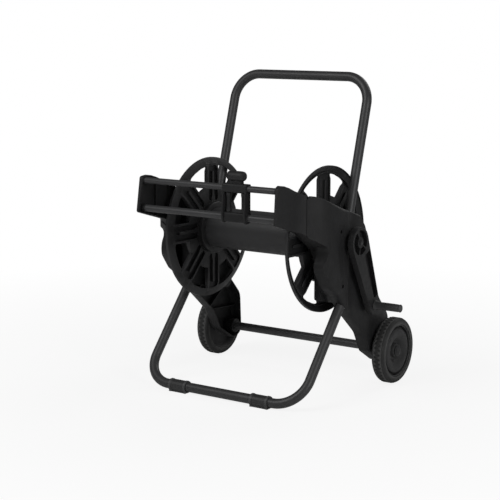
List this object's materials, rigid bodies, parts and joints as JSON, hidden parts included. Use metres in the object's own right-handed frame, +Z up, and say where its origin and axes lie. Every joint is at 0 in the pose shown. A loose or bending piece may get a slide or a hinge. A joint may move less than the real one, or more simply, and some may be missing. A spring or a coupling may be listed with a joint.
{
  "type": "garden hose reel cart",
  "caption": "Black two-wheeled garden hose reel cart with a spoked drum between moulded side housings, tube handle and leg, a crank and a sliding hose guide.",
  "frame": {"origin": "On the floor under the middle of the outline, within a few millimetres", "axes": "Z is up from the floor. X runs along the drum's axis towards the crank side. Y runs from the hose guide in front to the wheels behind."},
  "size_m": [0.795, 0.6544, 0.98],
  "materials": {
    "frame_paint": "satin charcoal powder coat",
    "rail_paint": "satin charcoal powder coat",
    "housing_plastic": "fine-grained black polypropylene",
    "drum_plastic": "fine-grained black polypropylene",
    "trim_plastic": "smooth black plastic",
    "tyre_rubber": "dull black rubber",
    "seal_rubber": "dull black rubber",
    "bearing_plastic": "pale natural acetal",
    "plated_steel": "zinc-plated steel",
    "brass": "turned brass"
  },
  "bodies": {
    "frame": {"handle_tube": "frame_paint", "leg_tube": "frame_paint", "axle_tube": "frame_paint", "foot_sleeve_left": "trim_plastic", "foot_sleeve_right": "trim_plastic", "axle_cap_left": "trim_plastic", "axle_cap_right": "trim_plastic", "side_frame_left": "housing_plastic", "side_frame_right": "housing_plastic", "side_cover_left": "housing_plastic", "side_cover_right": "housing_plastic", "cover_screw_left_1": "plated_steel", "cover_screw_left_2": "plated_steel", "cover_screw_left_3": "plated_steel", "cover_screw_right_1": "plated_steel", "cover_screw_right_2": "plated_steel", "cover_screw_right_3": "plated_steel", "bearing_bush_left": "bearing_plastic", "bearing_bush_right": "bearing_plastic", "guide_rail_upper": "rail_paint", "guide_rail_lower": "rail_paint", "water_inlet": "brass", "inlet_seal": "seal_rubber"},
    "drum": {"drum_flange_left": "drum_plastic", "drum_flange_right": "drum_plastic", "drum_core": "drum_plastic", "crank_shaft": "plated_steel", "water_shaft": "drum_plastic", "outlet_elbow": "brass", "crank_arm": "housing_plastic", "crank_screw": "plated_steel", "grip_spindle": "trim_plastic"},
    "grip": {"crank_grip": "trim_plastic"},
    "guide": {"guide_carriage": "housing_plastic", "guide_knob": "trim_plastic", "roller_pin_left": "plated_steel", "roller_pin_right": "plated_steel"},
    "roller_left": {"guide_roller_left": "trim_plastic"},
    "roller_right": {"guide_roller_right": "trim_plastic"},
    "wheel_left": {"tyre_left": "tyre_rubber", "wheel_rim_left": "housing_plastic"},
    "wheel_right": {"tyre_right": "tyre_rubber", "wheel_rim_right": "housing_plastic"}
  },
  "joints": [
    {"name": "drum_spin", "type": "hinge", "parent": "frame", "child": "drum", "pos_m": [-0.0365, 0.0042, 0.4815], "axis": [1, 0, 0], "continuous": true},
    {"name": "grip_spin", "type": "hinge", "parent": "drum", "child": "grip", "pos_m": [0.35, 0.09694, 0.27321], "axis": [1, 0, 0], "continuous": true},
    {"name": "guide_slide", "type": "slide", "parent": "frame", "child": "guide", "axis": [1, 0, 0], "range_m": [-0.284, 0.088]},
    {"name": "roller_left_spin", "type": "hinge", "parent": "guide", "child": "roller_left", "pos_m": [0.035, -0.2978, 0.62], "axis": [0, 0, 1], "continuous": true},
    {"name": "roller_right_spin", "type": "hinge", "parent": "guide", "child": "roller_right", "pos_m": [0.088, -0.2978, 0.62], "axis": [0, 0, 1], "continuous": true},
    {"name": "wheel_left_spin", "type": "hinge", "parent": "frame", "child": "wheel_left", "pos_m": [-0.376, 0.2228, 0.105], "axis": [1, 0, 0], "continuous": true},
    {"name": "wheel_right_spin", "type": "hinge", "parent": "frame", "child": "wheel_right", "pos_m": [0.303, 0.2228, 0.105], "axis": [1, 0, 0], "continuous": true}
  ]
}
